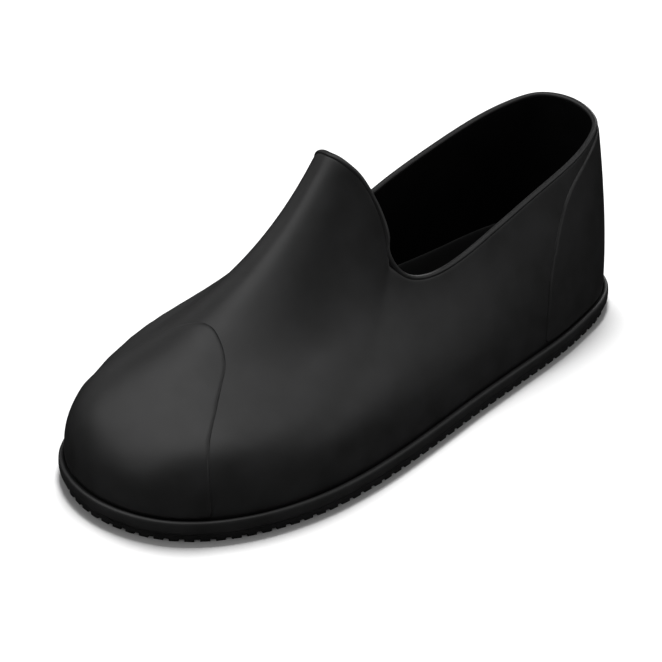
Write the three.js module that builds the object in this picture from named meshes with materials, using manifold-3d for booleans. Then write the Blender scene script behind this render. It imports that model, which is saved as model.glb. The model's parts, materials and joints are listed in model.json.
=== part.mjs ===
// A pull-on rubber overshoe for the left foot, in millimetres, +Z up.
// The toe points along -Y, the outer (lateral) side is +X, and the tread stands on Z = 0.
// The origin is the middle of the sole's length and width, on the floor.
import * as THREE from "three";
import { mergeVertices } from "three/addons/utils/BufferGeometryUtils.js";
import Module from "manifold-3d";

const wasm = await Module();
wasm.setup();

// Overall sizes
const LENGTH = 300; // sole, from toe to heel
const BALL_WIDTH = 115.4; // sole, across the ball of the foot
const COLLAR_WIDTH = 68; // foot opening, across its widest part
const TONGUE_HEIGHT = 122; // top of the tongue above the floor
const NOTCH_HEIGHT = 66; // lowest point of the opening, at each side of the tongue
const HEEL_HEIGHT = 93.5; // top of the opening at the back of the heel
const OUTER_SHARE = 0.55; // share of the ball's width that lies outside the foot's centre line
const TONGUE_SHIFT = 1.5; // top of the tongue, from the foot's centre line
const NOTCH_SHIFT = -1; // middle between the notches, from the foot's centre line
const HEEL_SHIFT = -4.5; // back of the opening, from the foot's centre line
const INNER_RISE = 4; // the heel's rim stands this much higher on the inner side

// Thicknesses and heights of the parts
const GAP = 0.3; // clearance between two parts that touch
const RIM_GAP = 0.6; // clearance between the wall's upper rim and the bead
const WALL = 2.2; // rubber of the upper
const UPPER_INSET = 1.2; // the upper starts this far inside the sole's edge
const TREAD_TOP = 3.4; // upper face of the treaded layer
const TREAD_INSET = 0.1; // the treaded layer lies this far inside the sole's edge
const CORE_TOP = 6.8; // upper face of the outsole, inside the foxing
const FOXING_TOP = 10;
const FOXING_WALL = 2; // strip around the edge of the sole, where it is thinnest
const FOXING_BULGE = 1.8; // its rounded face stands this far out of the sole's edge
const PATCH = 0.6; // toe cap and heel counter
const PATCH_FOOT = 1.2; // their lower edge, above the foxing
const PATCH_GAP = 0.5; // clearance under them, on the curved face
const INSOLE = 1.6;
const INSOLE_RISE = 26; // top of the insole's cupped edge above the floor
const INSOLE_HEEL_RISE = 31; // the same, at the back of the heel
const INSOLE_HEEL = 80; // length of the heel in which it rises
const BEAD_WIDTH = 2.8; // rolled edge of the opening
const BEAD_HEIGHT = 2.6;
const BEAD_OVERHANG = 0.3; // the bead stands this far out over the wall

// Tread
const LUG_PITCH = 6.4; // along the edge of the sole
const LUG_GROOVE = 2.4;
const LUG_REACH = 6; // length of an edge groove, inwards
const TREAD_DEPTH = 1.1;
const RIB_PITCH = 9;
const RIB_GROOVE = 3.6;
const RIB_FIELD_INSET = 11; // the ribbed field lies this far inside the edge

// Mesh steps
const STEPS_PER_LINE = 2; // around the foot, between two lines of the table
const CUP_STEPS = 2; // up the wall, from the foxing to the insole's edge
const WALL_STEPS = 15; // from there to the opening
const BEAD_SIDES = 8;
const CUT_MARGIN = 1; // cutters reach this far out of what they cut
const NUDGE = 1e-3; // smallest step in a line's number or share
const SLIVER = 1e-6; // area under which a triangle is none

// Lines that climb from the sole's edge to the opening, from the toe's tip back to the heel.
// The values are shares:
//   along: sole's edge, of LENGTH from the toe; outer, inner: of each side's half width
//   topAlong: opening, of LENGTH from the toe; topOut: of half COLLAR_WIDTH
//   topRise: opening, of the height from the notch to the tongue's top, or to the heel's
//   belly, reach: first handle, outwards, and second handle, inwards, of the line's width
//   outerRise, outerLift: first and second handle, upwards, of the line's height, outer side
//   innerRise, innerLift: the same on the inner side
const LINE_COLUMNS = [
  "along", "outer", "inner", "topAlong", "topOut", "topRise",
  "belly", "reach", "outerRise", "outerLift", "innerRise", "innerLift",
];
const LINES = table(LINE_COLUMNS, [
  [0.0, 0.0, 0.0, 0.435, 0.0, 1.0, -0.005, 0.62, 0.455, 0.35, 0.455, 0.35],
  [0.01, 0.29, 0.37, 0.438, 0.138, 0.99, 0.025, 0.61, 0.425, 0.26, 0.515, 0.285],
  [0.037, 0.544, 0.665, 0.444, 0.284, 0.945, 0.02, 0.58, 0.465, 0.135, 0.5, 0.22],
  [0.083, 0.748, 0.875, 0.455, 0.413, 0.86, 0.005, 0.63, 0.5, 0.11, 0.51, 0.22],
  [0.15, 0.904, 0.98, 0.468, 0.538, 0.69, 0.03, 0.72, 0.495, 0.195, 0.605, 0.315],
  [0.24, 0.993, 1.0, 0.472, 0.713, 0.5, 0.04, 0.72, 0.51, 0.265, 0.545, 0.345],
  [0.34, 0.991, 0.98, 0.464, 0.885, 0.28, -0.005, 0.73, 0.49, 0.44, 0.505, 0.45],
  [0.45, 0.928, 0.911, 0.493, 0.995, 0.06, 0.025, 0.64, 0.39, 0.59, 0.425, 0.575],
  [0.567, 0.838, 0.84, 0.567, 1.0, 0.0, 0.07, 0.605, 0.37, 0.61, 0.395, 0.615],
  [0.683, 0.763, 0.786, 0.667, 0.997, 0.26, 0.095, 0.57, 0.37, 0.61, 0.375, 0.635],
  [0.783, 0.696, 0.751, 0.767, 0.944, 0.51, 0.095, 0.505, 0.34, 0.67, 0.35, 0.675],
  [0.867, 0.603, 0.7, 0.86, 0.88, 0.71, 0.06, 0.46, 0.36, 0.68, 0.36, 0.68],
  [0.93, 0.497, 0.59, 0.92, 0.747, 0.84, 0.02, 0.44, 0.36, 0.68, 0.36, 0.68],
  [0.977, 0.315, 0.37, 0.963, 0.53, 0.94, 0.0, 0.44, 0.36, 0.68, 0.36, 0.68],
  [1.0, 0.0, 0.0, 0.98, 0.0, 1.0, 0.0, 0.44, 0.36, 0.68, 0.36, 0.68],
]);
const NOTCH_LINE = 8; // row of the opening's lowest point
const TOE_LINE = 0;
const HEEL_LINE = LINES.length - 1;
const RING_LINES = 2 * HEEL_LINE; // lines all round the foot

// Patches on the upper: span is half their width around the foot, in lines of the table, at a
// share of the mesh's rows up the wall.
const PATCH_COLUMNS = ["up", "span"];
const TOE_CAP = table(PATCH_COLUMNS, [
  [0.0, 3.0],
  [0.13, 2.8],
  [0.23, 2.4],
  [0.305, 2.1],
  [0.385, 1.7],
  [0.46, 1.3],
  [0.49, 1.05],
  [0.51, 0.65],
  [0.522, 0.3],
]);
const HEEL_COUNTER = table(PATCH_COLUMNS, [
  [0.0, 4.4],
  [0.34, 4.2],
  [0.57, 3.9],
  [0.73, 3.6],
  [0.87, 3.3],
  [0.94, 2.8],
  [1.0, 1.8],
]);

// The foxing's face: how far it stands out, of FOXING_BULGE, at a share of its height.
const FOXING_FACE = table(["up", "out"], [
  [0.0, 0.0],
  [0.22, 0.75],
  [0.5, 1.0],
  [0.8, 0.7],
  [1.0, 0.0],
]);

// What follows from the sizes above
const CENTRE_X = BALL_WIDTH * (0.5 - OUTER_SHARE); // the foot's centre line
const SKIRT_INSET = FOXING_WALL + GAP; // the upper's lower rim, inside the foxing
const LEDGE = SKIRT_INSET - UPPER_INSET; // the upper overhangs the foxing by this much
const FLOOR_INSET = SKIRT_INSET + WALL + GAP; // the insole, inside the upper
const SKIRT_FOOT = CORE_TOP + GAP;
const WALL_FOOT = FOXING_TOP + GAP;
const FOXING_FOOT = TREAD_TOP + GAP;

const lerp = THREE.MathUtils.lerp;
const alongToY = (share) => (share - 0.5) * LENGTH;

function table(columns, rows) {
  return rows.map((row) => Object.fromEntries(columns.map((name, i) => [name, row[i]])));
}

// A closed curve through one point of every line, back along the outer side and forward along the
// inner side. point(row, side, i) gives the point; side is 1 on the outer side, -1 on the inner.
function ringCurve(point) {
  const points = [];
  for (let i = 0; i <= HEEL_LINE; i++) points.push(point(LINES[i], 1, i));
  for (let i = HEEL_LINE - 1; i > 0; i--) points.push(point(LINES[i], -1, i));
  return new THREE.CatmullRomCurve3(points, true, "centripetal");
}

// The sole's edge, at floor level.
const solePath = ringCurve((row, side) => {
  const share = side > 0 ? row.outer * OUTER_SHARE : row.inner * (1 - OUTER_SHARE);
  return new THREE.Vector3(CENTRE_X + side * share * BALL_WIDTH, alongToY(row.along), 0);
});

// The upper edge of the opening.
const collarPath = ringCurve((row, side, i) => {
  const out = side * row.topOut;
  const atTongue = i < NOTCH_LINE;
  const shift = lerp(NOTCH_SHIFT, atTongue ? TONGUE_SHIFT : HEEL_SHIFT, row.topRise);
  const top = atTongue ? TONGUE_HEIGHT : HEEL_HEIGHT + (INNER_RISE * (1 - out)) / 2;
  const x = CENTRE_X + shift + (out * COLLAR_WIDTH) / 2;
  return new THREE.Vector3(x, alongToY(row.topAlong), lerp(NOTCH_HEIGHT, top, row.topRise));
});

// The shares that place the handles of each line's profile.
const lowerShares = ringCurve((row, side) => {
  const rise = side > 0 ? row.outerRise : row.innerRise;
  return new THREE.Vector3(-row.belly, -row.belly, rise);
});
const upperShares = ringCurve((row, side) => {
  const lift = side > 0 ? row.outerLift : row.innerLift;
  return new THREE.Vector3(row.reach, row.reach, lift);
});

// A place around the foot is a line's number, with fractions between lines. It counts on along
// the inner side, and past the toe in both directions.
const turn = (line) => THREE.MathUtils.euclideanModulo(line / RING_LINES, 1);

// A point of the sole's edge moved inwards, at height z.
function edgePoint(line, inset, z) {
  const point = solePath.getPoint(turn(line));
  const tangent = solePath.getTangent(turn(line));
  return new THREE.Vector3(point.x - tangent.y * inset, point.y + tangent.x * inset, z);
}

// The outer face of the upper along one line, from the foxing to the edge of the opening.
function makeProfile(line) {
  const foot = edgePoint(line, UPPER_INSET, WALL_FOOT);
  const top = collarPath.getPoint(turn(line));
  const way = top.clone().sub(foot);
  const low = way.clone().multiply(lowerShares.getPoint(turn(line))).add(foot);
  const high = way.clone().multiply(upperShares.getPoint(turn(line))).add(foot);
  return new THREE.CubicBezierCurve3(foot, low, high, top);
}

const profiles = new Map();
function profile(line) {
  if (!profiles.has(line)) profiles.set(line, makeProfile(line));
  return profiles.get(line);
}

// The direction out of the upper's outer face, at a share of the way up the wall.
function outward(line, up) {
  const before = profile(line - NUDGE).getPointAt(up);
  const after = profile(line + NUDGE).getPointAt(up);
  return after.sub(before).cross(profile(line).getTangentAt(up)).normalize();
}

// The outer face moved inwards by a depth.
function facePoint(line, up, depth) {
  return profile(line).getPointAt(up).addScaledVector(outward(line, up), -depth);
}

// The direction across the opening's edge, out of the wall.
function rimUp(line) {
  return outward(line, 1).cross(collarPath.getTangent(turn(line))).normalize();
}

// The share of the way up a line at which the outer face is at a height.
function shareAtHeight(line, height) {
  let low = 0;
  let high = 1;
  while (high - low > NUDGE) {
    const middle = (low + high) / 2;
    if (profile(line).getPointAt(middle).z < height) low = middle;
    else high = middle;
  }
  return low;
}

// The height of the insole's cupped edge at a line.
function insoleRise(line) {
  const fromHeel = LENGTH / 2 - solePath.getPoint(turn(line)).y;
  const share = THREE.MathUtils.smoothstep(INSOLE_HEEL - fromHeel, 0, INSOLE_HEEL);
  return lerp(INSOLE_RISE, INSOLE_HEEL_RISE, share);
}

// The mesh's rows up one line: evenly to the insole's edge, and evenly from there to the bead.
function wallRows(line) {
  const cup = shareAtHeight(line, insoleRise(line));
  const slant = profile(line).getTangentAt(1).dot(rimUp(line));
  const top = 1 - (BEAD_HEIGHT + RIM_GAP) / (slant * profile(line).getLength());
  const rows = [];
  for (let k = 0; k < CUP_STEPS; k++) rows.push((cup * k) / CUP_STEPS);
  for (let k = 0; k <= WALL_STEPS; k++) rows.push(lerp(cup, top, k / WALL_STEPS));
  return rows;
}

// The wall is thicker over the foxing, where the upper overhangs it.
const wallDepth = (row) => WALL + (row < CUP_STEPS ? LEDGE * (1 - row / CUP_STEPS) : 0);

// One closed loop of points round the foot.
function ring(point) {
  const points = [];
  for (let i = 0; i < RING_LINES * STEPS_PER_LINE; i++) points.push(point(i / STEPS_PER_LINE));
  return points;
}

const edgeRing = (inset, z) => ring((line) => edgePoint(line, inset, z));
const faceRing = (row, depth) => ring((line) => facePoint(line, wallRows(line)[row], depth));

function addQuad(corners, a, b, c, d) {
  corners.push(a, b, c, a, c, d);
}

// Faces between two loops, the second above the first.
function addBand(corners, lower, upper) {
  lower.forEach((point, i) => {
    const next = (i + 1) % lower.length;
    addQuad(corners, point, lower[next], upper[next], upper[i]);
  });
}

// A flat face inside a level loop.
function addCap(corners, loop, facesUp) {
  const flat = loop.map((p) => new THREE.Vector2(p.x, p.y));
  for (const face of THREE.ShapeUtils.triangulateShape(flat, [])) {
    const anticlockwise = THREE.ShapeUtils.area(face.map((k) => flat[k])) > 0;
    if (anticlockwise !== facesUp) face.reverse();
    for (const k of face) corners.push(loop[k]);
  }
}

// Triangles that a patch's narrowing rows leave without area are dropped.
function toGeometry(corners) {
  const kept = [];
  for (let i = 0; i < corners.length; i += 3) {
    const triangle = new THREE.Triangle(corners[i], corners[i + 1], corners[i + 2]);
    if (triangle.getArea() > SLIVER) kept.push(triangle.a, triangle.b, triangle.c);
  }
  return new THREE.BufferGeometry().setFromPoints(kept);
}

// A body that runs all round the foot: its section's loops go up the outside and down the inside.
function hoop(loops) {
  const corners = [];
  loops.forEach((loop, k) => addBand(corners, loop, loops[(k + 1) % loops.length]));
  return toGeometry(corners);
}

// A wall between an outer and an inner grid of points, with rows from the bottom up. Its two faces
// are split along the same diagonals, so that walls that lie on each other stay apart.
function shell(outer, inner, closed) {
  const corners = [];
  const top = outer.length - 1;
  const columns = outer[0].length;
  const steps = closed ? columns : columns - 1;
  for (let i = 0; i < steps; i++) {
    const j = (i + 1) % columns;
    for (let k = 0; k < top; k++) {
      addQuad(corners, outer[k][i], outer[k][j], outer[k + 1][j], outer[k + 1][i]);
      addQuad(corners, inner[k][i], inner[k + 1][i], inner[k + 1][j], inner[k][j]);
    }
    addQuad(corners, outer[top][i], outer[top][j], inner[top][j], inner[top][i]);
    addQuad(corners, outer[0][i], inner[0][i], inner[0][j], outer[0][j]);
  }
  for (let k = 0; k < top && !closed; k++) {
    addQuad(corners, inner[k][0], outer[k][0], outer[k + 1][0], inner[k + 1][0]);
    addQuad(corners, outer[k][steps], inner[k][steps], inner[k + 1][steps], outer[k + 1][steps]);
  }
  return toGeometry(corners);
}

// A body with a flat underside in its first loop and a flat upper face in its last.
function tray(loops) {
  const corners = [];
  addCap(corners, loops[0], false);
  for (let k = 1; k < loops.length; k++) addBand(corners, loops[k - 1], loops[k]);
  addCap(corners, loops[loops.length - 1], true);
  return toGeometry(corners);
}

function toSolid(geometry) {
  const bare = geometry.clone();
  for (const name of Object.keys(bare.attributes)) if (name !== "position") bare.deleteAttribute(name);
  const merged = mergeVertices(bare);
  const vertProperties = new Float32Array(merged.attributes.position.array);
  const triVerts = new Uint32Array(merged.index.array);
  return new wasm.Manifold(new wasm.Mesh({ numProp: 3, vertProperties, triVerts }));
}

function fromSolid(solid) {
  const { vertProperties, triVerts } = solid.getMesh();
  const geometry = new THREE.BufferGeometry();
  geometry.setAttribute("position", new THREE.BufferAttribute(vertProperties, 3));
  geometry.setIndex(new THREE.BufferAttribute(triVerts, 1));
  return geometry;
}

// A groove's cutter, from below the floor up to the tread's depth.
function grooveCutter(width, length, centre, heading) {
  const height = TREAD_DEPTH + CUT_MARGIN;
  const box = new THREE.BoxGeometry(length, width, height);
  box.rotateZ(heading);
  box.translate(centre.x, centre.y, TREAD_DEPTH - height / 2);
  return toSolid(box);
}

// Short grooves across the edge of the tread, all round.
function lugGrooves() {
  const count = Math.round(solePath.getLength() / LUG_PITCH);
  const length = LUG_REACH + TREAD_INSET + CUT_MARGIN;
  const cutters = [];
  for (let i = 0; i < count; i++) {
    const along = (i + 0.5) / count;
    const tangent = solePath.getTangentAt(along);
    const inward = new THREE.Vector3(-tangent.y, tangent.x, 0);
    const centre = solePath.getPointAt(along).addScaledVector(inward, length / 2 - CUT_MARGIN);
    cutters.push(grooveCutter(LUG_GROOVE, length, centre, Math.atan2(inward.y, inward.x)));
  }
  return cutters;
}

// Long grooves across the middle of the tread, inside the lugs.
function ribGrooves() {
  const field = toSolid(
    tray([edgeRing(RIB_FIELD_INSET, -CUT_MARGIN), edgeRing(RIB_FIELD_INSET, TREAD_DEPTH)]),
  );
  const count = Math.floor((LENGTH - 2 * RIB_FIELD_INSET) / RIB_PITCH);
  const cutters = [];
  for (let i = 0; i < count; i++) {
    const centre = new THREE.Vector3(0, (i - (count - 1) / 2) * RIB_PITCH, 0);
    cutters.push(grooveCutter(RIB_GROOVE, BALL_WIDTH, centre, 0).intersect(field));
  }
  return cutters;
}

// Outsole: the treaded layer, and a core that the foxing fits around.
function outsoleGeometry() {
  let solid = toSolid(
    tray([
      edgeRing(TREAD_INSET, 0),
      edgeRing(TREAD_INSET, TREAD_TOP),
      edgeRing(SKIRT_INSET, TREAD_TOP),
      edgeRing(SKIRT_INSET, CORE_TOP),
    ]),
  );
  for (const cutter of [...lugGrooves(), ...ribGrooves()]) solid = solid.subtract(cutter);
  return fromSolid(solid);
}

// Foxing: the strip round the edge of the sole, with a rounded face.
function foxingGeometry() {
  const face = FOXING_FACE.map(({ up, out }) =>
    edgeRing(-out * FOXING_BULGE, lerp(FOXING_FOOT, FOXING_TOP, up)),
  );
  return hoop([...face, edgeRing(FOXING_WALL, FOXING_TOP), edgeRing(FOXING_WALL, FOXING_FOOT)]);
}

// Upper: a shell whose foot stands on the outsole's core, behind the foxing.
function upperGeometry() {
  const middle = (SKIRT_FOOT + WALL_FOOT) / 2;
  const outer = [edgeRing(SKIRT_INSET, SKIRT_FOOT), edgeRing(SKIRT_INSET, WALL_FOOT)];
  const inner = [edgeRing(SKIRT_INSET + WALL, SKIRT_FOOT), edgeRing(SKIRT_INSET + WALL, middle)];
  for (let row = 0; row <= CUP_STEPS + WALL_STEPS; row++) {
    outer.push(faceRing(row, 0));
    inner.push(faceRing(row, wallDepth(row)));
  }
  return shell(outer, inner, true);
}

// Insole: a flat floor whose edge is cupped up the inside of the upper.
function insoleGeometry() {
  const cornerZ = SKIRT_FOOT + INSOLE;
  const loops = [
    edgeRing(FLOOR_INSET + INSOLE, SKIRT_FOOT),
    edgeRing(FLOOR_INSET, cornerZ),
  ];
  for (let row = 0; row <= CUP_STEPS; row++) loops.push(faceRing(row, wallDepth(row) + GAP));
  for (let row = CUP_STEPS; row >= 0; row--) loops.push(faceRing(row, wallDepth(row) + GAP + INSOLE));
  loops.push(edgeRing(FLOOR_INSET + 2 * INSOLE, cornerZ));
  return tray(loops);
}

// Bead: the rolled edge of the opening.
function beadGeometry() {
  const loops = [];
  for (let k = 0; k < BEAD_SIDES; k++) {
    const angle = ((k - 0.5) / BEAD_SIDES - 0.25) * 2 * Math.PI;
    const out = (Math.cos(angle) * BEAD_WIDTH) / 2 + BEAD_OVERHANG - BEAD_WIDTH / 2;
    const rise = ((Math.sin(angle) - 1) * BEAD_HEIGHT) / 2;
    loops.push(ring((line) => facePoint(line, 1, -out).addScaledVector(rimUp(line), rise)));
  }
  return hoop(loops);
}

// The value of a column between two rows of a patch's table.
function patchSpan(rows, up) {
  const next = Math.max(1, rows.findIndex((row) => row.up >= up));
  const [lower, upper] = [rows[next - 1], rows[next]];
  return lerp(lower.span, upper.span, (up - lower.up) / (upper.up - lower.up));
}

// The upper's mesh rows that a patch covers, and its top edge between two of them.
function patchRows(rows) {
  const last = rows[rows.length - 1].up * (CUP_STEPS + WALL_STEPS);
  const covered = [];
  for (let row = 0; row < last; row++) covered.push(row);
  return [...covered, last];
}

// The share of the way up a line at a row of the mesh, or between two rows.
function shareAtRow(line, row) {
  const shares = wallRows(line);
  const below = Math.min(Math.floor(row), shares.length - 2);
  const share = lerp(shares[below], shares[below + 1], row - below);
  return Math.max(share, PATCH_FOOT / profile(line).getLength());
}

// A thin patch on the outer face, on both sides of a middle line. Its columns are the upper's, and
// those past its edge fall together there.
function patchGeometry(rows, middleLine) {
  const reach = Math.ceil(Math.max(...rows.map((row) => row.span)) * STEPS_PER_LINE);
  const grid = (depth) =>
    patchRows(rows).map((row) => {
      const span = patchSpan(rows, row / (CUP_STEPS + WALL_STEPS));
      const points = [];
      for (let i = -reach; i <= reach; i++) {
        const line = middleLine + THREE.MathUtils.clamp(i / STEPS_PER_LINE, -span, span);
        points.push(facePoint(line, shareAtRow(line, row), depth));
      }
      return points;
    });
  return shell(grid(-PATCH_GAP - PATCH), grid(-PATCH_GAP), false);
}

function rubberPart(name, geometry, rubber) {
  const material = new THREE.MeshStandardMaterial({ ...rubber, metalness: 0 });
  const mesh = new THREE.Mesh(geometry, material);
  mesh.name = name;
  return mesh;
}

const UPPER_RUBBER = { color: 0x1b1b1c, roughness: 0.45 };
const FOXING_RUBBER = { color: 0x1f1f20, roughness: 0.5 };
const SOLE_RUBBER = { color: 0x1f1f20, roughness: 0.6 };
const INSOLE_RUBBER = { color: 0x141414, roughness: 0.7 };

const overshoe = new THREE.Group();
overshoe.add(rubberPart("outsole", outsoleGeometry(), SOLE_RUBBER));
overshoe.add(rubberPart("foxing", foxingGeometry(), FOXING_RUBBER));
overshoe.add(rubberPart("insole", insoleGeometry(), INSOLE_RUBBER));
overshoe.add(rubberPart("upper", upperGeometry(), UPPER_RUBBER));
overshoe.add(rubberPart("toe_cap", patchGeometry(TOE_CAP, TOE_LINE), UPPER_RUBBER));
overshoe.add(rubberPart("heel_counter", patchGeometry(HEEL_COUNTER, HEEL_LINE), UPPER_RUBBER));
overshoe.add(rubberPart("topline_bead", beadGeometry(), UPPER_RUBBER));

export default overshoe;
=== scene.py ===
"""Visual model of a pull-on rubber overshoe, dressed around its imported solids.

Every length is in metres in the part's own frame: the toe points along -Y, the outer side is +X
and the tread stands on Z = 0. Sizes are written in millimetres times MM, and angles in degrees.
"""

import json
import logging
import math
from dataclasses import dataclass, field
from enum import Enum
from typing import Callable, Sequence

import bpy
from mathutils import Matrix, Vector

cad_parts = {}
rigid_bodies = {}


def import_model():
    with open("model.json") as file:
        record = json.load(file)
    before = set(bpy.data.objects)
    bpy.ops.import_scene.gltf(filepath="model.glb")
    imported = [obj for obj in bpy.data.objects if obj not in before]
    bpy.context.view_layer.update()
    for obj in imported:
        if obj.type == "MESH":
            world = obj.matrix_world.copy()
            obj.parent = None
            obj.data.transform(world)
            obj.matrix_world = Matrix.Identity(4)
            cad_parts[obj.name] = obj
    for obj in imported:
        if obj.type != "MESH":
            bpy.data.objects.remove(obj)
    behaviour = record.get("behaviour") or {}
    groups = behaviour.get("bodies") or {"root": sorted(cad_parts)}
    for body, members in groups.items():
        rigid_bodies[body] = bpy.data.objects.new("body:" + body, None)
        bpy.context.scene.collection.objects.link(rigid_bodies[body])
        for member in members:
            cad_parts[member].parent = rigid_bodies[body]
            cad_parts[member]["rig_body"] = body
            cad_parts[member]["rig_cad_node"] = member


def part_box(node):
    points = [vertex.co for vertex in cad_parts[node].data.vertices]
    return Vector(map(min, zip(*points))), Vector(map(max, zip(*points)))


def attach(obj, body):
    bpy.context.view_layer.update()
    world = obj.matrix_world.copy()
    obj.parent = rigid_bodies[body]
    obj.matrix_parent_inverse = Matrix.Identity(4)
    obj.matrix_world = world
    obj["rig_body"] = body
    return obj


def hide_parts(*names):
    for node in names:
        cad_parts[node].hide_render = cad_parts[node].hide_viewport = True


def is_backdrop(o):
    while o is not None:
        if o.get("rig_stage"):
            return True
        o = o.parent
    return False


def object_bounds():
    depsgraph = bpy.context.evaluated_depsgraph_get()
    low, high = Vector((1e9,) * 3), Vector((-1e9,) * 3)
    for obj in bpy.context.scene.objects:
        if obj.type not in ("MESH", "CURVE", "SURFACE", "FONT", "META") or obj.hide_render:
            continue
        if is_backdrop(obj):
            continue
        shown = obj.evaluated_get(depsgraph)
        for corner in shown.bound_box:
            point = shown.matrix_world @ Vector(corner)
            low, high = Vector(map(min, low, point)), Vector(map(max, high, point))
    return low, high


MM = 0.001
CENTRE_X = -5.77 * MM  # the foot's centre line
BODY = "root"
FRAME_KEYS = ("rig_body", "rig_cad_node")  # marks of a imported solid, which no copy keeps
MERGE_DISTANCE = 0.005 * MM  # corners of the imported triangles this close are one
NOISE_RANGE = (0.3, 0.7)  # where most values of a noise lie
INWARDS = -1.0  # side on which a sheet gets its thickness
WHITE = (1.0, 1.0, 1.0, 1.0)
LOG = logging.getLogger("overshoe")

Box = tuple[Vector, Vector]


class Node(Enum):
    """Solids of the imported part."""

    UPPER = "upper"
    TOE_CAP = "toe_cap"
    HEEL_COUNTER = "heel_counter"
    BEAD = "topline_bead"
    INSOLE = "insole"
    FOXING = "foxing"
    OUTSOLE = "outsole"


class Slot(Enum):
    """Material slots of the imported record."""

    UPPER = "upper_rubber"
    BEAD = "bead_rubber"
    INSOLE = "insole_rubber"
    FOXING = "foxing_rubber"
    SOLE = "sole_rubber"


class Element(Enum):
    """Kinds of mesh element that a step selects."""

    VERTEX = "VERT"
    EDGE = "EDGE"
    FACE = "FACE"


# Finishes


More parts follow.
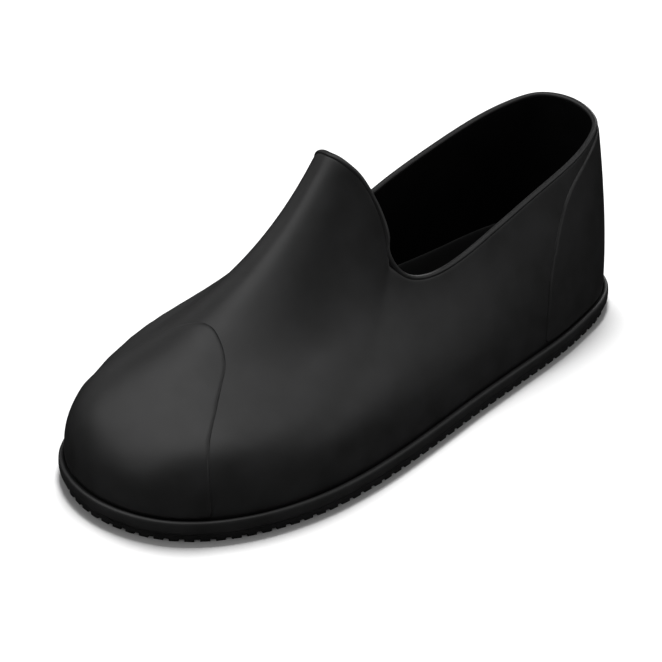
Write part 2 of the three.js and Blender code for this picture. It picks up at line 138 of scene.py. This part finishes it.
@dataclass(frozen=True)
class RubberFinish:
    """A moulded black rubber, from its colour to its surface grain.

    Its bloom, worn spots, ripple and grain are noises, each with its own octaves of finer spots.
    """

    name: str
    dark: float = 0.0075
    light: float = 0.0115
    coolness: float = 1.04  # blue in the light spots, against their red and green
    bloom_octaves: float = 3.0
    roughness: float = 0.46
    roughness_swing: float = 0.02
    wear_share: float = 0.6  # size of the worn spots, against the ripple's
    wear_octaves: float = 4.0
    specular: float = 0.42
    grain_size: float = 0.55 * MM
    grain_depth: float = 0.014 * MM
    grain_octaves: float = 3.0
    ripple_size: float = 14 * MM
    ripple_depth: float = 0.02 * MM
    ripple_octaves: float = 1.0

    def material(self) -> bpy.types.Material:
        """Builds the finish as a node material.

        Returns:
            The material, which reads Object coordinates only.
        """
        made = bpy.data.materials.new(self.name)
        made.use_nodes = True
        tree = made.node_tree
        tree.nodes.clear()
        output = tree.nodes.new("ShaderNodeOutputMaterial")
        shader = tree.nodes.new("ShaderNodeBsdfPrincipled")
        shader.inputs["Specular IOR Level"].default_value = self.specular
        tree.links.new(shader.outputs["BSDF"], output.inputs["Surface"])
        place = tree.nodes.new("ShaderNodeTexCoord").outputs["Object"]
        tree.links.new(self._colour(tree, place), shader.inputs["Base Color"])
        tree.links.new(self._wear(tree, place), shader.inputs["Roughness"])
        tree.links.new(self._relief(tree, place), shader.inputs["Normal"])
        return made

    @staticmethod
    def noise(
        tree: bpy.types.NodeTree, place: bpy.types.NodeSocket, size: float, octaves: float
    ) -> bpy.types.NodeSocket:
        """Adds a noise pattern.

        Args:
            tree: node tree to add it to.
            place: socket with the coordinates.
            size: size of its spots, in metres.
            octaves: how many layers of finer spots it has.

        Returns:
            The noise's value socket.
        """
        node = tree.nodes.new("ShaderNodeTexNoise")
        node.inputs["Scale"].default_value = 1 / size
        node.inputs["Detail"].default_value = octaves
        tree.links.new(place, node.inputs["Vector"])
        return node.outputs["Fac"]

    @staticmethod
    def span(
        tree: bpy.types.NodeTree, value: bpy.types.NodeSocket, low: float, high: float
    ) -> bpy.types.NodeSocket:
        """Maps a noise's middle range onto another range.

        Args:
            tree: node tree to add the node to.
            value: socket with the noise.
            low: result at the noise's low end.
            high: result at the noise's high end.

        Returns:
            The result's socket.
        """
        node = tree.nodes.new("ShaderNodeMapRange")
        node.inputs["From Min"].default_value = NOISE_RANGE[0]
        node.inputs["From Max"].default_value = NOISE_RANGE[1]
        node.inputs["To Min"].default_value = low
        node.inputs["To Max"].default_value = high
        tree.links.new(value, node.inputs["Value"])
        return node.outputs["Result"]

    @staticmethod
    def bump(
        tree: bpy.types.NodeTree, height: bpy.types.NodeSocket, depth: float
    ) -> bpy.types.Node:
        """Adds a relief.

        Args:
            tree: node tree to add it to.
            height: socket with the noise that it follows.
            depth: how deep it is, in metres.

        Returns:
            The relief's node.
        """
        node = tree.nodes.new("ShaderNodeBump")
        node.inputs["Distance"].default_value = depth
        tree.links.new(height, node.inputs["Height"])
        return node

    def _colour(
        self, tree: bpy.types.NodeTree, place: bpy.types.NodeSocket
    ) -> bpy.types.NodeSocket:
        """Adds the near-black colour with its faint grey bloom.

        Args:
            tree: node tree to add it to.
            place: socket with the coordinates.

        Returns:
            The colour's socket.
        """
        bloom = self.noise(tree, place, self.ripple_size, self.bloom_octaves)
        ramp = tree.nodes.new("ShaderNodeValToRGB")
        ramp.color_ramp.elements[0].color = (self.dark, self.dark, self.dark, 1.0)
        blue = self.light * self.coolness
        ramp.color_ramp.elements[1].color = (self.light, self.light, blue, 1.0)
        tree.links.new(self.span(tree, bloom, 0.0, 1.0), ramp.inputs["Fac"])
        return ramp.outputs["Color"]

    def _wear(
        self, tree: bpy.types.NodeTree, place: bpy.types.NodeSocket
    ) -> bpy.types.NodeSocket:
        """Adds the uneven roughness of rubber that has been handled.

        Args:
            tree: node tree to add it to.
            place: socket with the coordinates.

        Returns:
            The roughness socket.
        """
        size = self.ripple_size * self.wear_share
        spots = self.noise(tree, place, size, self.wear_octaves)
        low = self.roughness - self.roughness_swing
        return self.span(tree, spots, low, self.roughness + self.roughness_swing)

    def _relief(
        self, tree: bpy.types.NodeTree, place: bpy.types.NodeSocket
    ) -> bpy.types.NodeSocket:
        """Adds the wide ripple of the mould and the fine grain on it.

        Args:
            tree: node tree to add it to.
            place: socket with the coordinates.

        Returns:
            The normal's socket.
        """
        waves = self.noise(tree, place, self.ripple_size, self.ripple_octaves)
        ripple = self.bump(tree, waves, self.ripple_depth)
        specks = self.noise(tree, place, self.grain_size, self.grain_octaves)
        grain = self.bump(tree, specks, self.grain_depth)
        tree.links.new(ripple.outputs["Normal"], grain.inputs["Normal"])
        return grain.outputs["Normal"]


@dataclass(frozen=True)
class FloorFinish:
    """The pale, matt paper under the overshoe."""

    name: str = "pale_paper"
    albedo: float = 0.86

    def material(self) -> bpy.types.Material:
        """Builds the paper, which has no gloss at all.

        Returns:
            The material.
        """
        made = bpy.data.materials.new(self.name)
        made.use_nodes = True
        shader = made.node_tree.nodes["Principled BSDF"]
        shader.inputs["Base Color"].default_value = (self.albedo, self.albedo, self.albedo, 1.0)
        shader.inputs["Roughness"].default_value = 1.0
        shader.inputs["Specular IOR Level"].default_value = 0.0
        return made


# Steps that the pieces share


class Workbench:
    """Operator steps on one mesh at a time."""

    @staticmethod
    def hold(piece: bpy.types.Object) -> None:
        """Leaves a piece as the only selected object, and the active one.

        Args:
            piece: object to hold.
        """
        if bpy.context.object is not None and bpy.context.object.mode != "OBJECT":
            bpy.ops.object.mode_set(mode="OBJECT")
        bpy.ops.object.select_all(action="DESELECT")
        piece.select_set(True)
        bpy.context.view_layer.objects.active = piece

    @classmethod
    def copy_node(cls, node: Node, name: str) -> bpy.types.Object:
        """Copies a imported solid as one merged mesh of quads.

        Args:
            node: solid to copy.
            name: name of the new piece.

        Returns:
            The copy, with no parent and no fixed normals.
        """
        cls.hold(bpy.data.objects[node.value])
        bpy.ops.object.duplicate()
        piece = bpy.context.object
        bpy.ops.object.parent_clear(type="CLEAR_KEEP_TRANSFORM")
        piece.name = piece.data.name = name
        for key in FRAME_KEYS:
            del piece[key]
        piece.data.materials.clear()
        bpy.ops.object.mode_set(mode="EDIT")
        bpy.ops.mesh.select_mode(type="VERT")
        bpy.ops.mesh.select_all(action="SELECT")
        bpy.ops.mesh.customdata_custom_splitnormals_clear()
        bpy.ops.mesh.remove_doubles(threshold=MERGE_DISTANCE)
        bpy.ops.mesh.tris_convert_to_quads(
            face_threshold=math.radians(60), shape_threshold=math.radians(180)
        )
        bpy.ops.mesh.normals_make_consistent(inside=False)
        bpy.ops.object.mode_set(mode="OBJECT")
        return piece

    @classmethod
    def pick(
        cls, piece: bpy.types.Object, kind: Element, test: Callable[[object], bool]
    ) -> int:
        """Enters edit mode with the elements that pass a test selected.

        Args:
            piece: object whose mesh is edited.
            kind: kind of element to test.
            test: says whether an element is wanted.

        Returns:
            How many elements are selected.
        """
        cls.hold(piece)
        mesh = piece.data
        lists = {
            Element.VERTEX: mesh.vertices,
            Element.EDGE: mesh.edges,
            Element.FACE: mesh.polygons,
        }
        for elements in lists.values():
            elements.foreach_set("select", [False] * len(elements))
        wanted = [bool(test(e)) for e in lists[kind]]
        lists[kind].foreach_set("select", wanted)
        bpy.context.tool_settings.mesh_select_mode = [kind is k for k in lists]
        bpy.ops.object.mode_set(mode="EDIT")
        bpy.ops.mesh.select_mode(type=kind.value)
        return sum(wanted)

    @staticmethod
    def done() -> None:
        """Leaves edit mode."""
        bpy.ops.object.mode_set(mode="OBJECT")

    @classmethod
    def apply(cls, piece: bpy.types.Object, kind: str, **settings: object) -> None:
        """Adds a modifier with its settings and applies it.

        Args:
            piece: object to change.
            kind: the modifier's type.
            **settings: values of the modifier.
        """
        cls.hold(piece)
        modifier = piece.modifiers.new(kind.lower(), kind)
        for key, value in settings.items():
            setattr(modifier, key, value)
        bpy.ops.object.modifier_apply(modifier=modifier.name)

    @classmethod
    def smooth(cls, piece: bpy.types.Object, level: int) -> None:
        """Subdivides a piece into a smooth surface and applies it.

        Args:
            piece: object to change.
            level: how often each face is divided.
        """
        cls.apply(piece, "SUBSURF", levels=level, render_levels=level)

    @classmethod
    def finish(
        cls, piece: bpy.types.Object, finish: RubberFinish, slot: Slot, node: Node
    ) -> None:
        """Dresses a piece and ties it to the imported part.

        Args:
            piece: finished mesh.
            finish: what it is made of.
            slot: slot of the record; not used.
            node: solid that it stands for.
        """
        cls.hold(piece)
        bpy.ops.object.shade_smooth()
        piece.data.materials.append(finish.material())
        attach(piece, BODY)
        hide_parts(node.value)
        LOG.info("%s: %d faces", piece.name, len(piece.data.polygons))


# Sub-assemblies


@dataclass
class Upper:
    """The moulded wall, from the sole's edge to the opening."""

    name: str = "moulded_upper"
    foot_height: float = 10.3 * MM
    foot_band: float = 0.15 * MM
    foot_drop: float = 1.5 * MM
    bead_reach: float = 3.0 * MM
    bead_facing: float = 0.1
    rim_rise: float = 1.9 * MM
    levels: int = 2
    core_ends: tuple[float, float] = (-100 * MM, 90 * MM)
    core_height: float = 30 * MM
    finish: RubberFinish = RubberFinish("upper_rubber_satin")
    # the inside's darker colour is painted shade in the hollow
    inside_painted_shade: RubberFinish = RubberFinish(
        "upper_rubber_inside_painted_shade", dark=0.002, light=0.003, roughness=0.6, specular=0.08
    )

    def build(self) -> bpy.types.Object:
        """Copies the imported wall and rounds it.

        Returns:
            The wall, which reaches into the bead above it and behind the foxing below it.
        """
        piece = Workbench.copy_node(Node.UPPER, self.name)
        self._raise_rim(piece)
        self._lower_foot(piece)
        Workbench.smooth(piece, self.levels)
        return piece

    def _raise_rim(self, piece: bpy.types.Object) -> None:
        """Lets the top edge run on into the bead.

        Args:
            piece: the wall.
        """
        bead = bpy.data.objects[Node.BEAD.value]

        def looks_at_bead(face: bpy.types.MeshPolygon) -> bool:
            """Says whether a face is part of the wall's top edge.

            Args:
                face: face of the wall.

            Returns:
                True where the bead is near and in front of the face.
            """
            _, place, _, _ = bead.closest_point_on_mesh(face.center)
            way = place - face.center
            near = way.length < self.bead_reach
            return near and face.normal.dot(way.normalized()) > self.bead_facing

        count = Workbench.pick(piece, Element.FACE, looks_at_bead)
        LOG.info("%s: %d faces of the rim", self.name, count)
        bpy.ops.mesh.extrude_region_shrink_fatten(
            TRANSFORM_OT_shrink_fatten={"value": self.rim_rise, "use_even_offset": True}
        )
        Workbench.done()

    def _lower_foot(self, piece: bpy.types.Object) -> None:
        """Lets the lower edge run on behind the foxing's lip.

        Args:
            piece: the wall.
        """
        Workbench.pick(
            piece,
            Element.VERTEX,
            lambda v: abs(v.co.z - self.foot_height) < self.foot_band,
        )
        bpy.ops.transform.translate(value=(0.0, 0.0, -self.foot_drop))
        Workbench.done()

    def dress(self, piece: bpy.types.Object) -> None:
        """Gives the wall its satin rubber, and its inside a matt, unpolished one in a darker
        colour, which is painted shade in the hollow.

        Args:
            piece: the finished wall.
        """
        Workbench.finish(piece, self.finish, Slot.UPPER, Node.UPPER)
        # the inside faces take the darker rubber: painted shade in the hollow
        piece.data.materials.append(self.inside_painted_shade.material())
        piece.active_material_index = 1
        Workbench.pick(piece, Element.FACE, self._faces_in)
        bpy.ops.object.material_slot_assign()
        Workbench.done()

    def _faces_in(self, face: bpy.types.MeshPolygon) -> bool:
        """Says whether a face looks at the line along the middle of the hollow.

        Args:
            face: face of the wall.

        Returns:
            True on the inside, which takes the darker rubber as painted shade.
        """
        low, high = self.core_ends
        along = min(max(face.center.y, low), high)
        core = Vector((CENTRE_X, along, self.core_height))
        return face.normal.dot(face.center - core) < 0


@dataclass
class Overlay:
    """A thin layer moulded onto the wall, such as the toe cap."""

    node: Node
    name: str
    facing: float = 0.7
    lift: float = 0.65 * MM
    thickness: float = 1.4 * MM
    edge_fall: float = 0.8 * MM
    edge_reach: float = 1.5 * MM
    foot_band: float = 1.6 * MM
    foot_drop: float = 2.2 * MM
    levels: int = 3
    finish: RubberFinish = RubberFinish("upper_rubber_satin_layer")

    def build(self, wall: bpy.types.Object) -> bpy.types.Object:
        """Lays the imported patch's outer face on the rounded wall.

        Args:
            wall: the finished wall, which the layer follows.

        Returns:
            A closed layer that stands a little proud of the wall.
        """
        piece = Workbench.copy_node(self.node, self.name)
        Workbench.pick(piece, Element.FACE, lambda f: not self._faces_out(f, wall))
        bpy.ops.mesh.delete(type="FACE")
        Workbench.done()
        foot = min(v.co.z for v in piece.data.vertices) + self.foot_band
        Workbench.pick(piece, Element.VERTEX, lambda v: v.co.z < foot)
        bpy.ops.transform.translate(value=(0.0, 0.0, -self.foot_drop))
        Workbench.done()
        Workbench.smooth(piece, self.levels)
        Workbench.apply(
            piece,
            "SHRINKWRAP",
            target=wall,
            wrap_method="NEAREST_SURFACEPOINT",
            wrap_mode="OUTSIDE_SURFACE",
            offset=self.lift,
        )
        self._thin_edge(piece)
        Workbench.apply(piece, "SOLIDIFY", thickness=self.thickness, offset=INWARDS)
        return piece

    def _faces_out(self, face: bpy.types.MeshPolygon, wall: bpy.types.Object) -> bool:
        """Says whether a face looks the way that the wall under it does.

        Args:
            face: face of the patch.
            wall: the finished wall.

        Returns:
            True on the patch's outer face.
        """
        _, _, normal, _ = wall.closest_point_on_mesh(face.center)
        return face.normal.dot(normal) > self.facing

    def _thin_edge(self, piece: bpy.types.Object) -> None:
        """Lets the layer run out into the wall along its edge, in a soft round.

        Args:
            piece: the layer, still an open sheet.
        """
        Workbench.pick(piece, Element.VERTEX, lambda v: False)
        bpy.ops.mesh.select_non_manifold(extend=False, use_boundary=True)
        bpy.ops.transform.shrink_fatten(
            value=-self.edge_fall,
            use_proportional_edit=True,
            proportional_edit_falloff="SHARP",
            proportional_size=self.edge_reach,
        )
        Workbench.done()

    def dress(self, piece: bpy.types.Object) -> None:
        """Gives the layer the wall's rubber."""
        Workbench.finish(piece, self.finish, Slot.UPPER, self.node)


@dataclass
class Bead:
    """The rolled edge of the opening."""

    name: str = "rolled_edge"
    growth: float = 0.12 * MM
    levels: int = 2
    finish: RubberFinish = RubberFinish("bead_rubber_satin", roughness=0.42)

    def build(self) -> bpy.types.Object:
        """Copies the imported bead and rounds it.

        Returns:
            The bead, grown by about what the rounding took off it.
        """
        piece = Workbench.copy_node(Node.BEAD, self.name)
        Workbench.smooth(piece, self.levels)
        Workbench.pick(piece, Element.VERTEX, lambda v: True)
        bpy.ops.transform.shrink_fatten(value=self.growth)
        Workbench.done()
        return piece

    def dress(self, piece: bpy.types.Object) -> None:
        """Gives the bead its satin rubber."""
        Workbench.finish(piece, self.finish, Slot.BEAD, Node.BEAD)


@dataclass
class Insole:
    """The cupped sheet that the foot stands on."""

    name: str = "cupped_insole"
    levels: int = 2
    finish: RubberFinish = RubberFinish(
        "insole_rubber_matt", dark=0.011, light=0.015, roughness=0.62, specular=0.3
    )

    def build(self) -> bpy.types.Object:
        """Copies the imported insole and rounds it.

        Returns:
            The insole.
        """
        piece = Workbench.copy_node(Node.INSOLE, self.name)
        Workbench.smooth(piece, self.levels)
        return piece

    def dress(self, piece: bpy.types.Object) -> None:
        """Gives the insole its matt rubber."""
        Workbench.finish(piece, self.finish, Slot.INSOLE, Node.INSOLE)


@dataclass
class Foxing:
    """The convex strip around the sole's edge, with a lip along its top."""

    name: str = "foxing_strip"
    steps: int = 8
    section_steps: int = 4
    edge_band: float = 0.05 * MM
    side_facing: float = 0.2
    slimness: float = 0.2  # how little a place along the sole turns its side's direction
    merge: float = 0.01 * MM
    # outwards from the sole's edge, height above the floor
    profile: Sequence[tuple[float, float]] = (
        (0.0, 3.7),
        (1.0, 4.1),
        (1.5, 5.0),
        (1.69, 6.4),
        (1.67, 7.9),
        (1.45, 9.2),
        (0.95, 9.85),
        (0.3, 10.05),
        (-0.5, 9.75),
        (-0.95, 9.1),
        (-1.4, 8.6),
        (-2.2, 8.4),
        (-2.3, 3.7),
        (-1.2, 3.5),
    )
    finish: RubberFinish = RubberFinish("foxing_rubber_satin", roughness=0.5)

    def build(self) -> bpy.types.Object:
        """Draws the strip's section along the sole's edge.

        Returns:
            The strip as one closed ring.
        """
        path = self._outline()
        section = self._section(path.data.splines[0].bezier_points[0].co.z)
        path.data.twist_mode = "Z_UP"
        path.data.resolution_u = self.steps
        path.data.bevel_mode = "OBJECT"
        path.data.bevel_object = section
        Workbench.hold(path)
        bpy.ops.object.convert(target="MESH")
        piece = bpy.context.object
        bpy.data.objects.remove(section)
        Workbench.pick(piece, Element.VERTEX, lambda v: True)
        bpy.ops.mesh.remove_doubles(threshold=self.merge)
        bpy.ops.mesh.normals_make_consistent(inside=False)
        Workbench.done()
        return piece

    def _outline(self) -> bpy.types.Object:
        """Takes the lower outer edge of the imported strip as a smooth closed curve.

        Returns:
            The curve.
        """
        piece = Workbench.copy_node(Node.FOXING, self.name)
        low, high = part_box(Node.FOXING.value)
        middle = (low + high) / 2
        Workbench.pick(piece, Element.FACE, lambda f: not self._faces_out(f, middle))
        bpy.ops.mesh.delete(type="FACE")
        Workbench.done()
        edge = min(v.co.z for v in piece.data.vertices) + self.edge_band
        Workbench.pick(piece, Element.VERTEX, lambda v: v.co.z > edge)
        bpy.ops.mesh.delete(type="VERT")
        Workbench.done()
        bpy.ops.object.convert(target="CURVE")
        curve = bpy.context.object
        bpy.ops.object.mode_set(mode="EDIT")
        bpy.ops.curve.select_all(action="SELECT")
        bpy.ops.curve.spline_type_set(type="BEZIER")
        bpy.ops.curve.handle_type_set(type="AUTOMATIC")
        bpy.ops.object.mode_set(mode="OBJECT")
        return curve

    def _faces_out(self, face: bpy.types.MeshPolygon, middle: Vector) -> bool:
        """Says whether a face belongs to the strip's outer side.

        Args:
            face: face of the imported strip.
            middle: middle of the strip's box.

        Returns:
            True on the outer side.
        """
        across = face.center.x - middle.x
        away = Vector((across, self.slimness * face.center.y, 0.0)).normalized()
        return face.normal.dot(away) > self.side_facing

    def _section(self, base: float) -> bpy.types.Object:
        """Draws the strip's section as a closed curve.

        Args:
            base: height of the outline that the section follows.

        Returns:
            The curve.
        """
        drawing = bpy.data.curves.new(self.name + "_section", "CURVE")
        spline = drawing.splines.new("BEZIER")
        spline.bezier_points.add(len(self.profile) - 1)
        for point, (out, height) in zip(spline.bezier_points, self.profile):
            point.co = (-out * MM, height * MM - base, 0.0)
            point.handle_left_type = point.handle_right_type = "AUTO"
        spline.use_cyclic_u = True
        drawing.resolution_u = self.section_steps
        section = bpy.data.objects.new(drawing.name, drawing)
        bpy.context.collection.objects.link(section)
        return section

    def dress(self, piece: bpy.types.Object) -> None:
        """Gives the strip its rubber."""
        Workbench.finish(piece, self.finish, Slot.FOXING, Node.FOXING)


@dataclass
class Outsole:
    """The treaded layer under the overshoe."""

    name: str = "treaded_outsole"
    flat_angle: float = 1.0
    edge_angle: float = 40.0
    edge_radius: float = 0.45 * MM
    edge_steps: int = 3
    shading_angle: float = 35.0
    finish: RubberFinish = RubberFinish("sole_rubber_matt", roughness=0.56)

    def build(self) -> bpy.types.Object:
        """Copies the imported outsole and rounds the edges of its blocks.

        Returns:
            The outsole.
        """
        piece = Workbench.copy_node(Node.OUTSOLE, self.name)
        Workbench.pick(piece, Element.VERTEX, lambda v: True)
        bpy.ops.mesh.dissolve_limited(angle_limit=math.radians(self.flat_angle))
        Workbench.done()
        Workbench.apply(
            piece,
            "BEVEL",
            width=self.edge_radius,
            segments=self.edge_steps,
            limit_method="ANGLE",
            angle_limit=math.radians(self.edge_angle),
        )
        return piece

    def dress(self, piece: bpy.types.Object) -> None:
        """Gives the outsole its matt rubber."""
        Workbench.finish(piece, self.finish, Slot.SOLE, Node.OUTSOLE)
        bpy.ops.object.shade_smooth_by_angle(angle=math.radians(self.shading_angle))


# Studio


def direction(azimuth: float, elevation: float) -> Vector:
    """Works out the way from the overshoe to a lamp or a camera.

    Args:
        azimuth: turn from the toe's end towards the outer side, in degrees.
        elevation: rise above the floor, in degrees.

    Returns:
        The way, one metre long.
    """
    turn, rise = math.radians(azimuth), math.radians(elevation)
    return Vector(
        (
            math.sin(turn) * math.cos(rise),
            -math.cos(turn) * math.cos(rise),
            math.sin(rise),
        )
    )


@dataclass(frozen=True)
class SoftBox:
    """A square studio lamp that faces the overshoe, and lights it or the floor."""

    name: str
    azimuth: float
    elevation: float
    distance: float
    width: float
    height: float
    power: float
    for_floor: bool = False

    def hang(self, target: Vector, floor: bpy.types.Object) -> None:
        """Adds the lamp.

        Args:
            target: point that it faces.
            floor: the studio's floor.
        """
        away = direction(self.azimuth, self.elevation)
        bpy.ops.object.light_add(type="AREA", location=target + away * self.distance)
        lamp = bpy.context.object
        lamp.name = lamp.data.name = self.name
        lamp.rotation_euler = away.to_track_quat("Z", "Y").to_euler()
        lamp.data.shape = "RECTANGLE"
        lamp.data.size = self.width
        lamp.data.size_y = self.height
        lamp.data.energy = self.power
        lit = bpy.data.collections.new(self.name + "_receivers")
        lit.objects.link(floor)
        lit.collection_objects[0].light_linking.link_state = (
            "INCLUDE" if self.for_floor else "EXCLUDE"
        )
        lamp.light_linking.receiver_collection = lit


@dataclass
class Studio:
    """Floor, lamps and camera."""

    aim: Vector = field(default_factory=lambda: Vector((CENTRE_X, 0.0, 0.0)))
    distance: float = 1.0
    azimuth: float = 45.7
    elevation: float = 31.0
    focal_pixels: float = 2237.0
    picture_pixels: float = 662.0
    left_pixels: float = 28.0
    up_pixels: float = 54.8
    sensor: float = 36.0
    near_end: float = 10 * MM
    floor_size: float = 12.0
    floor_corners: int = 96
    floor_finish: FloorFinish = FloorFinish()
    ambient: float = 0.3
    lamps: Sequence[SoftBox] = (
        SoftBox("key_lamp", -36.0, 56.0, 1.6, 1.4, 2.0, 16.5),
        SoftBox("top_lamp", 110.0, 80.0, 1.6, 1.3, 1.3, 7.2),
        SoftBox("left_fill", -100.0, 22.0, 1.6, 1.8, 1.2, 2.5),
        SoftBox("right_fill", 136.0, 30.0, 1.6, 1.4, 1.2, 5.2),
        SoftBox("heel_lamp", -158.0, 22.0, 1.6, 0.6, 1.0, 5.4),
        SoftBox("floor_lamp", -134.0, 72.0, 1.5, 0.5, 0.5, 28.0, for_floor=True),
    )

    def build(self) -> None:
        """Sets up the whole studio."""
        floor = self._floor()
        for lamp in self.lamps:
            lamp.hang(self.aim, floor)
        self._world()
        self._camera()

    def _floor(self) -> bpy.types.Object:
        """Adds the pale floor.

        Returns:
            The floor.
        """
        bpy.ops.object.select_all(action="DESELECT")
        bpy.ops.mesh.primitive_circle_add(
            vertices=self.floor_corners,
            radius=self.floor_size / 2,
            fill_type="NGON",
            location=(0.0, 0.0, 0.0),
        )
        floor = bpy.context.object
        floor.name = "pale_floor"
        floor.data.materials.append(self.floor_finish.material())
        floor.visible_glossy = False
        floor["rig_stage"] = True
        return floor

    def _world(self) -> None:
        """Fills the studio with weak, even light."""
        world = bpy.data.worlds.new("studio_air")
        world.use_nodes = True
        background = world.node_tree.nodes["Background"]
        background.inputs["Color"].default_value = WHITE
        background.inputs["Strength"].default_value = self.ambient
        world.cycles_visibility.glossy = False
        bpy.context.scene.world = world
        bpy.context.scene.view_settings.view_transform = "Standard"

    def _camera(self) -> None:
        """Places the camera at the photograph's viewing angle."""
        back = direction(self.azimuth, self.elevation)
        turn = math.radians(self.azimuth)
        right = Vector((math.cos(turn), math.sin(turn), 0.0))
        up = back.cross(right)
        ahead = (
            -back * self.focal_pixels - right * self.left_pixels + up * self.up_pixels
        ).normalized()
        bpy.ops.object.camera_add(location=self.aim + back * self.distance)
        camera = bpy.context.object
        camera.name = "studio_camera"
        camera.rotation_euler = ahead.to_track_quat("-Z", "Y").to_euler()
        camera.data.sensor_width = self.sensor
        camera.data.lens = self.focal_pixels / self.picture_pixels * self.sensor
        camera.data.clip_start = self.near_end
        bpy.context.scene.camera = camera


def main(cad_box: Box) -> None:
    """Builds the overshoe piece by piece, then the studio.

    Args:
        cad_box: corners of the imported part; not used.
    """
    logging.basicConfig(level=logging.INFO, format="%(name)s: %(message)s")
    upper = Upper()
    wall = upper.build()
    overlays = (
        Overlay(Node.TOE_CAP, "toe_cap_layer"),
        Overlay(Node.HEEL_COUNTER, "heel_counter_layer"),
    )
    for overlay in overlays:
        overlay.dress(overlay.build(wall))
    upper.dress(wall)
    for assembly in (Bead(), Insole(), Foxing(), Outsole()):
        assembly.dress(assembly.build())
    Studio().build()


if __name__ == "__main__":
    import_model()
    main(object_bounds())
